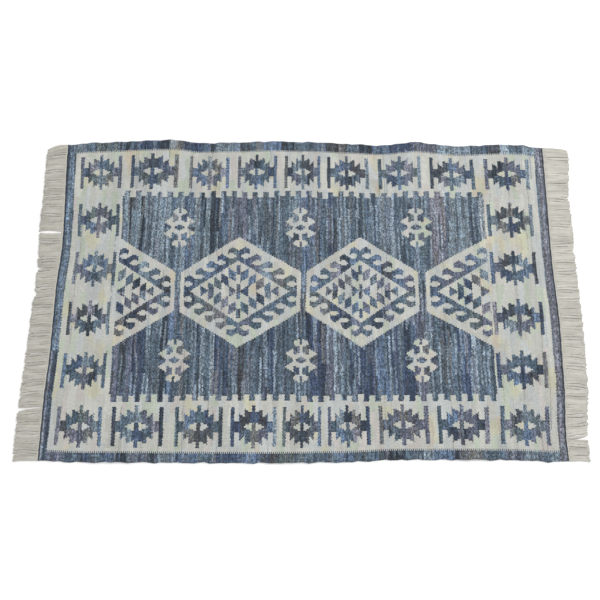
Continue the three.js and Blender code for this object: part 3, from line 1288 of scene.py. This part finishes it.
@dataclass
class YarnMesh:
    """Collects many yarns as tubes in one mesh."""

    YARN_MAP = "yarn"

    points: list[np.ndarray] = field(default_factory=list)
    faces: list[list[int]] = field(default_factory=list)
    maps: list[np.ndarray] = field(default_factory=list)
    count: int = 0
    yarns: int = 0

    def add(self, path: np.ndarray, radius: np.ndarray, sides: int) -> None:
        """Add one yarn.

        Args:
            path: Points along the yarn's middle, one a row.
            radius: Radius at each point.
            sides: Sides of the tube.
        """
        steps = len(path)
        run = unit(np.gradient(path, axis=0))
        side = unit(np.cross(run, (0.0, 0.0, 1.0)))
        lift = np.cross(side, run)
        turn = np.arange(sides)
        angle = (turn * TURN / sides)[None, :, None]
        ring = np.cos(angle) * side[:, None, :] + np.sin(angle) * lift[:, None, :]
        tube = path[:, None, :] + ring * radius[:, None, None]
        tip = path[-1] + run[-1] * radius[-1] * 0.5
        self.points.append(np.vstack([tube.reshape(-1, 3), path[:1], tip[None, :]]))

        i, j = np.indices((steps - 1, sides)).reshape(2, -1)
        corners = ((0, 0), (0, 1), (1, 1), (1, 0))
        quads = np.stack([(i + a) * sides + (j + b) % sides for a, b in corners], axis=1)
        after = (turn + 1) % sides
        last = (steps - 1) * sides
        root = np.full(sides, steps * sides)
        cap = np.stack([after, turn, root], axis=1)
        close = np.stack([turn + last, after + last, root + 1], axis=1)
        for part in (quads, cap, close):
            self.faces += (part + self.count).tolist()

        length = np.concatenate([[0.0], np.cumsum(np.linalg.norm(np.diff(path, axis=0), axis=1))])
        places = np.stack([[length[i + a], (j + b) / sides] for a, b in corners])
        ends = np.repeat([[0.0, 0.0], [length[-1], 0.0]], sides * 3, axis=0)
        flat = np.vstack([places.transpose(2, 0, 1).reshape(-1, 2), ends])
        self.maps.append(flat + (0.0, 2.0 * self.yarns))
        self.count += steps * sides + 2
        self.yarns += 1

    def build(self, name: str, finish: bpy.types.Material) -> bpy.types.Object:
        """Join the yarns into one piece.

        Args:
            name: Name of the piece.
            finish: Its material.

        Returns:
            The finished piece.
        """
        mesh = bpy.data.meshes.new(name)
        mesh.from_pydata(np.vstack(self.points).tolist(), [], self.faces)
        add_map(mesh, self.YARN_MAP, np.vstack(self.maps))
        return new_piece(name, mesh, finish)


@dataclass(frozen=True)
class Parting:
    """A place where the fringe opens into locks, with what it opens beyond the solid's lines."""

    place: float
    root: float
    middle: float
    tip: float
    notch: float


LEFT_PARTINGS = (
    Parting(0.237, 0.006, 0.005, -0.014, 0.0),
    Parting(0.097, 0.0, -0.002, -0.002, 0.008),
    Parting(0.000, 0.0, -0.002, -0.002, 0.007),
    Parting(-0.421, 0.006, 0.004, -0.006, 0.0),
)
RIGHT_PARTINGS = (
    Parting(0.376, 0.0, -0.002, -0.006, 0.003),
    Parting(0.163, 0.0, -0.002, -0.003, 0.006),
    Parting(-0.335, 0.0, -0.002, -0.009, 0.0),
    Parting(-0.527, 0.001, 0.001, -0.002, 0.0),
)


@dataclass(frozen=True)
class Cord:
    """A cord of two plies along the cloth's end, by its middle and the radius of a ply."""

    out: float
    height: float
    radius: float


@dataclass
class Fringe:
    """The fringe of one end: twisted strands on the solid's own lines, knots and twined cord."""

    side: int
    node: str
    seed: int
    partings: tuple[Parting, ...]
    cloth: RugCloth
    strands: int = 148
    sections: tuple[float, ...] = (0.030, 0.0625, 0.2)
    heading: float = 0.0032
    inset: float = 0.004
    yarns: int = 4
    yarn_radius: float = 0.0025
    spread: float = 0.0025
    lift: float = 0.0006
    steps: int = 10
    sides: int = 5
    turns: float = 0.75
    turns_play: tuple[float, float] = (0.5, 1.4)
    yarn_play: float = 0.0004
    trim: float = 0.045
    lock_size: float = 0.030
    lock_sway: float = 0.0032
    parting_reach: float = 0.030
    notch_reach: float = 0.010
    knot_place: float = 0.0042
    knot_length: float = 0.0036
    knot_turns: float = 1.1
    knot_start: float = 0.3
    knot_size: tuple[float, float] = (0.0031, 0.0022)
    knot_level: float = 0.0033
    knot_yarn: float = 0.0012
    twine: Cord = Cord(0.0036, 0.0030, 0.0019)
    thread: Cord = Cord(-0.0010, 0.0046, 0.0013)
    cord_turn: float = 0.0081
    cord_reach: float = 0.65
    cord_steps: int = 8
    cord_sides: int = 6

    def edge(self, rows: np.ndarray) -> np.ndarray:
        """The cloth's end edge at flat places across it, as x, y, lower z and upper z."""
        return self.cloth.lie(np.array([self.side * self.cloth.length / 2]), rows)[0]

    def read_strands(self) -> np.ndarray:
        """Find each strand's middle line in the frame's solid.

        Returns:
            Array of strands by root, middle and tip, by x and y.
        """
        points = unique_points(self.node)
        floor = points[np.abs(points[:, 2]) < 1e-5]
        rows = np.linspace(-0.5, 0.5, 121) * self.cloth.width
        edge = self.edge(rows)
        out = (floor[:, 0] - np.interp(floor[:, 1], edge[:, 1], edge[:, 0])) * self.side
        lines = []
        for low, high in zip(self.sections, self.sections[1:]):
            ring = floor[(out > low) & (out < high)]
            ring = ring[np.argsort(ring[:, 1])]
            pairs = ring[: 2 * self.strands].reshape(self.strands, 2, 3)
            lines.append(pairs.mean(axis=1)[:, :2])
        span = np.linspace(-0.5, 0.5, 2 * self.strands + 1)[1::2]
        root_y = np.interp(span * (self.cloth.width - self.inset), rows, edge[:, 1])
        root_x = np.interp(root_y, edge[:, 1], edge[:, 0]) + self.side * self.heading
        roots = np.stack([root_x, root_y], axis=1)
        return self.parted(np.stack([roots, *lines], axis=1))

    def parted(self, lines: np.ndarray) -> np.ndarray:
        """Open the partings between locks, and cut the notches at their tips.

        Args:
            lines: Strands by root, middle and tip, by x and y.

        Returns:
            The same array with its partings.
        """
        moved = lines.copy()
        for parting in self.partings:
            away = lines[:, 0, 1] - parting.place
            push = np.sign(away) * np.exp(-np.abs(away) / self.parting_reach) / 2
            for section, opening in enumerate((parting.root, parting.middle, parting.tip)):
                moved[:, section, 1] += push * opening
            short = np.exp(-((away / self.notch_reach) ** 2)) * parting.notch
            moved[:, 2, 0] -= self.side * short
        return moved

    def sway(self, place: float, share: np.ndarray) -> np.ndarray:
        """Sideways drift that neighbouring strands share, so that they lie in locks."""
        lock = place / self.lock_size + self.seed
        slow = math.sin(2.1 * lock) + 0.7 * math.sin(5.3 * lock + 1.0)
        quick = math.sin(3.7 * lock + 2.0)
        return self.lock_sway * (slow * np.sin(math.pi * share * 0.9) + quick * share ** 2)

    def build_strands(self, lines: np.ndarray, finish: bpy.types.Material) -> bpy.types.Object:
        """Make the strands, each a loose twist of cotton yarns that lies on the floor.

        Args:
            lines: Result of read_strands().
            finish: Cotton material.

        Returns:
            The finished piece.
        """
        random = np.random.default_rng(self.seed)
        mesh = YarnMesh()
        share = np.linspace(0.0, 1.0, self.steps)
        wide = self.spread * (0.85 + 0.30 * share)
        radius = self.yarn_radius * (1.0 - 0.2 * share ** 3)
        for root, middle, tip in lines:
            bend = 2 * middle - (root + tip) / 2
            path = ((1 - share) ** 2)[:, None] * root + (share ** 2)[:, None] * tip
            path = path + (2 * share * (1 - share))[:, None] * bend
            path[:, 1] += self.sway(root[1], share)
            run = unit(np.gradient(path, axis=0))
            across = np.stack([-run[:, 1], run[:, 0]], axis=1)
            phase = random.uniform(0, TURN)
            turns = self.turns * random.uniform(*self.turns_play)
            for yarn in range(self.yarns):
                angle = phase + yarn * TURN / self.yarns + TURN * turns * share
                offset = wide * np.cos(angle) + random.normal(0.0, self.yarn_play) * share
                trim = 1.0 - random.uniform(0.0, self.trim)
                place = root + (path - root) * trim + across * offset[:, None]
                height = self.yarn_radius + self.lift * (1 + np.sin(angle))
                mesh.add(np.column_stack([place, height]), radius, self.sides)
        return mesh.build(f"{self.node}_strands", finish)

    def build_heading(self, lines: np.ndarray, finish: bpy.types.Material) -> bpy.types.Object:
        """Make the twined cord that runs along the cloth's end and the knots beside it.

        Args:
            lines: Result of read_strands(), for the knots' places.
            finish: Cotton material.

        Returns:
            The finished piece.
        """
        mesh = YarnMesh()
        self.add_cord(mesh, self.twine)
        loop = np.linspace(0.0, 1.0, 9)
        turn = TURN * (loop * self.knot_turns - self.knot_start)
        ahead = (self.knot_place + self.knot_length * (loop - self.knot_start))[:, None]
        wide = (self.knot_size[0] * np.cos(turn))[:, None]
        height = self.knot_level + self.knot_size[1] * np.sin(turn)
        radius = np.full(len(loop), self.knot_yarn)
        for root, middle, _ in lines:
            run = (middle - root) / np.linalg.norm(middle - root)
            place = root + run * ahead + np.array([-run[1], run[0]]) * wide
            mesh.add(np.column_stack([place, height]), radius, self.sides)
        return mesh.build(f"{self.node}_heading", finish)

    def build_edge_thread(self, finish: bpy.types.Material) -> bpy.types.Object:
        """Make the dark twined thread that locks the last weft on the cloth's end.

        Args:
            finish: Dark thread material.

        Returns:
            The finished piece.
        """
        mesh = YarnMesh()
        self.add_cord(mesh, self.thread)
        return mesh.build(f"{self.node}_thread", finish)

    def add_cord(self, mesh: YarnMesh, cord: Cord) -> None:
        """Add the two plies of a cord to a mesh."""
        edge = self.edge(np.linspace(-0.5, 0.5, 241) * (self.cloth.width - self.inset))
        count = int(self.cloth.width / self.cord_turn) * self.cord_steps
        y = np.linspace(edge[0, 1], edge[-1, 1], count)
        x, floor = (np.interp(y, edge[:, 1], edge[:, axis]) for axis in (0, 2))
        wander = 0.0004 * np.sin(97.0 * y) + 0.0003 * np.sin(241.0 * y + 1.0)
        reach = cord.radius * self.cord_reach
        for ply in range(2):
            twist = TURN * (y - y[0]) / self.cord_turn + ply * math.pi
            out = x + self.side * (cord.out + wander + reach * np.cos(twist))
            place = np.column_stack([out, y, floor + cord.height + reach * np.sin(twist)])
            mesh.add(place, np.full(count, cord.radius), self.cord_sides)


@dataclass
class Studio:
    """Pale floor, soft light and a camera at the photograph's angle."""

    camera_place: tuple[float, float, float] = (-0.0202, -1.2066, 3.3103)
    tilt: float = 19.593
    focal_pixels: float = 977.34
    image_pixels: float = 600.0
    sensor: float = 36.0
    floor_half: float = 12.0
    floor_level: float = -0.0004
    floor_shade: float = 0.93
    sky: float = 0.72

    def build_camera(self) -> None:
        """Set the camera where the photograph was taken from."""
        data = bpy.data.cameras.new("camera")
        data.sensor_width = self.sensor
        data.lens = self.sensor * self.focal_pixels / self.image_pixels
        data.clip_end = 100.0
        camera = new_object("camera", data)
        camera.location = self.camera_place
        camera.rotation_euler = (math.radians(self.tilt), 0.0, 0.0)
        bpy.context.scene.camera = camera

    def build_floor(self) -> None:
        """Lay a plain white floor just under the rug."""
        bpy.ops.object.select_all(action="DESELECT")
        place = (0.0, 0.0, self.floor_level)
        bpy.ops.mesh.primitive_plane_add(size=2 * self.floor_half, location=place)
        floor = bpy.context.object
        floor.name = "floor"
        material, shader = matt_shader("floor_white", roughness=0.95)
        shader.inputs["Base Color"].default_value = (*[self.floor_shade] * 3, 1.0)
        floor.data.materials.append(material)

    def add_light(
        self, name: str, place: tuple[float, float, float], size: float, power: float
    ) -> None:
        """Hang one square soft light that faces the rug.

        Args:
            name: Name of the light.
            place: Its place.
            size: Its side.
            power: Its power in watts.
        """
        data = bpy.data.lights.new(name, "AREA")
        data.shape = "SQUARE"
        data.size = size
        data.energy = power
        light = new_object(name, data)
        light.location = place
        light.rotation_euler = (-Vector(place)).to_track_quat("-Z", "Y").to_euler()

    def build_light(self) -> None:
        """Soft white light from above and all round."""
        world = bpy.data.worlds.new("studio")
        world.use_nodes = True
        background = world.node_tree.nodes["Background"]
        background.inputs["Color"].default_value = (1.0, 1.0, 1.0, 1.0)
        background.inputs["Strength"].default_value = self.sky
        bpy.context.scene.world = world
        self.add_light("key", (2.4, 1.6, 3.4), 2.0, 95.0)
        self.add_light("fill", (-2.4, -1.6, 3.6), 3.0, 45.0)

    def build(self) -> None:
        """Build the whole studio."""
        view = bpy.context.scene.view_settings
        view.view_transform = "Standard"
        view.look = "None"
        self.build_camera()
        self.build_floor()
        self.build_light()


def main() -> None:
    """Build the studio, the cloth and its two fringes, and tie them to the frame."""
    logging.basicConfig(level=logging.INFO, format="%(message)s")
    Studio().build()
    twist = TwistGroup().build()
    cotton = YarnFinish("cotton_strands", Shade.HUSK, Shade.COTTON).build(twist)
    twine = YarnFinish("cotton_heading", Shade.TWINE, Shade.COTTON).build(twist)
    thread = YarnFinish("dark_thread", Shade.INK, Shade.NAVY).build(twist)
    cloth = RugCloth()
    sheet = cloth.build(DenimWeaveFinish().build())
    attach(sheet, "root")
    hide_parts("cloth")
    for fringe in (
        Fringe(-1, "fringe_left", 5, LEFT_PARTINGS, cloth),
        Fringe(1, "fringe_right", 9, RIGHT_PARTINGS, cloth),
    ):
        lines = fringe.read_strands()
        edging = fringe.build_edge_thread(thread)
        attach(edging, "root")
        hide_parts("cloth")
        strands = fringe.build_strands(lines, cotton)
        heading = fringe.build_heading(lines, twine)
        for piece in (strands, heading):
            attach(piece, "root")
            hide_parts(fringe.node)


if __name__ == "__main__":
    main()
